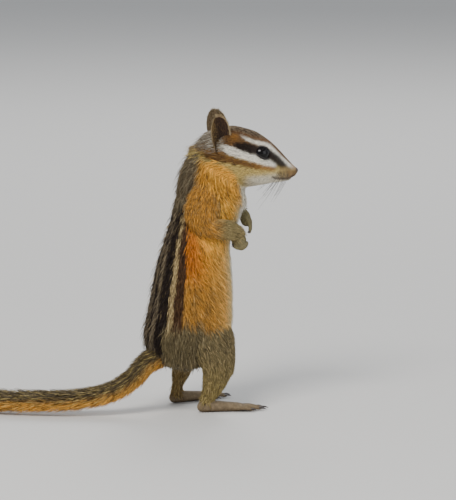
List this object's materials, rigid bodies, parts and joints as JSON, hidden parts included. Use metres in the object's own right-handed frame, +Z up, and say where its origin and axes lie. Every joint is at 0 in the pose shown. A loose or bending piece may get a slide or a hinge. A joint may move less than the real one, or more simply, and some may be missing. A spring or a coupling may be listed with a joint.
{
  "type": "chipmunk",
  "caption": "Life-size still model of a small striped chipmunk standing upright on its hind feet, forepaws folded at the chest, tail laid behind it.",
  "frame": {"origin": "middle of the bounding box's footprint, at floor level", "axes": "+X toward the muzzle's side and along the longest extent, +Y to the animal's left, +Z up"},
  "size_m": [0.133, 0.0458, 0.1144],
  "materials": {
    "head_coat": "short dense fur, striped brown, white and black",
    "flank_coat": "short dense fur, orange-brown with dark stripes",
    "leg_coat": "short grizzled fur",
    "tail_coat": "long grizzled hair with an orange fringe",
    "ear_skin": "thin skin with very short hair",
    "paw_skin": "bare and thinly haired skin, dark claws",
    "eye": "wet and glossy"
  },
  "bodies": {
    "root": {"head": "head_coat", "neck": "head_coat", "chest": "flank_coat", "belly": "flank_coat", "rump": "leg_coat", "eye_left": "eye", "eye_right": "eye", "ear_left": "ear_skin", "ear_right": "ear_skin", "upper_arm_left": "leg_coat", "forearm_left": "leg_coat", "hand_left": "paw_skin", "foot_left": "paw_skin", "shin_left": "leg_coat", "thigh_left": "leg_coat", "upper_arm_right": "leg_coat", "forearm_right": "leg_coat", "hand_right": "paw_skin", "foot_right": "paw_skin", "shin_right": "leg_coat", "thigh_right": "leg_coat", "tail_root": "tail_coat", "tail_middle": "tail_coat", "tail_tip": "tail_coat"}
  },
  "joints": []
}
